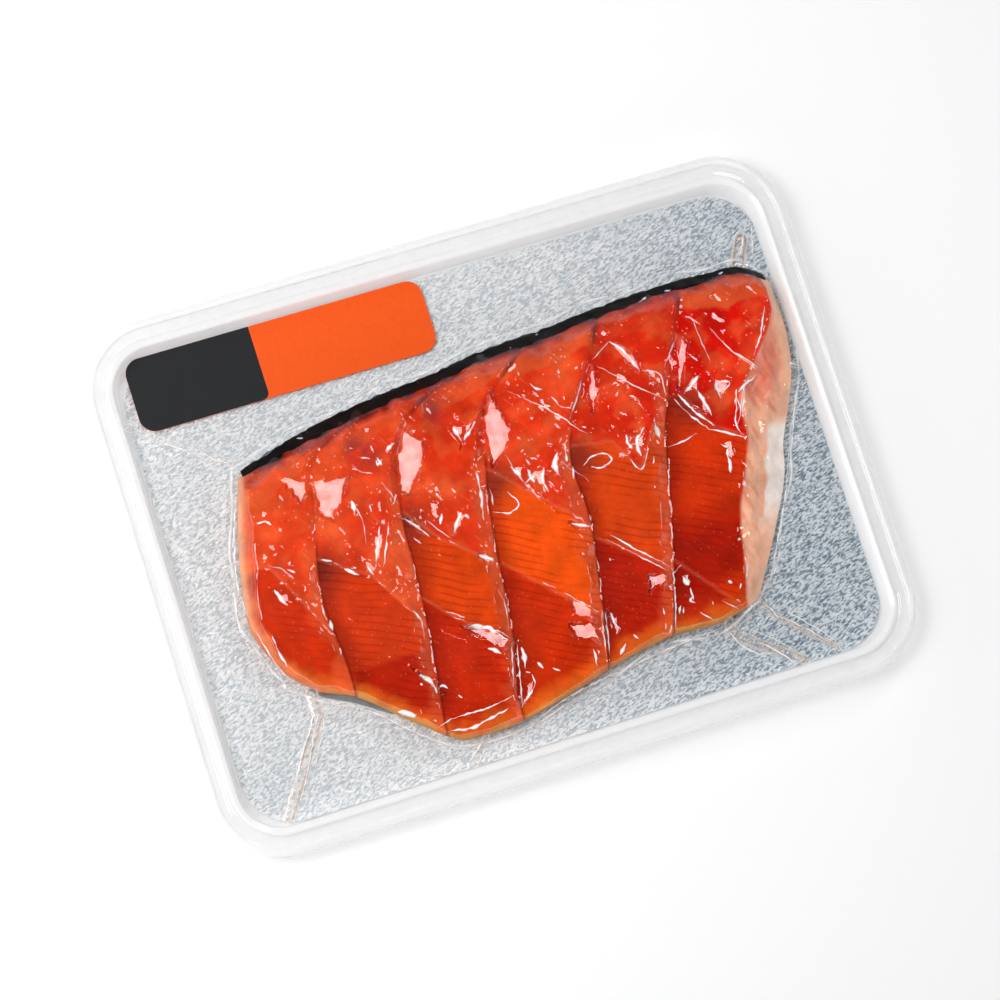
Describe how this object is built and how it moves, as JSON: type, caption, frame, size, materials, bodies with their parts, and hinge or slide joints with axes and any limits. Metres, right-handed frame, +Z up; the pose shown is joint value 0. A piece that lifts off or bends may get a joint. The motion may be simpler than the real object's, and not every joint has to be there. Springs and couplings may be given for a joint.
{
  "type": "vacuum skin pack of dried salmon fillet",
  "caption": "Shallow clear tray with a silver board, a dried red fish fillet cut into strips, tight clear film over all and a two-colour paper label.",
  "frame": {"origin": "middle of the tray's underside, on the surface that the pack lies on", "axes": "+X along the tray's long side towards the thick end of the fillet, +Y across it towards the fillet's dark back edge and the label, +Z up out of the tray"},
  "size_m": [0.19, 0.1426, 0.0142],
  "materials": {
    "clear_tray": "clear thermoformed sheet, slightly milky",
    "silver_board": "finely embossed silver face on card",
    "fish_skin": "wet black fish skin",
    "fish_flesh": "oily translucent red flesh",
    "clear_film": "glossy clear skin film with fine creases",
    "label_paper": "matte printed paper, orange with a black end"
  },
  "bodies": {
    "root": {"tray": "clear_tray", "board": "silver_board", "skin": "fish_skin", "strip_1": "fish_flesh", "strip_2": "fish_flesh", "strip_3": "fish_flesh", "strip_4": "fish_flesh", "strip_5": "fish_flesh", "strip_6": "fish_flesh", "film": "clear_film", "label": "label_paper"}
  },
  "joints": []
}
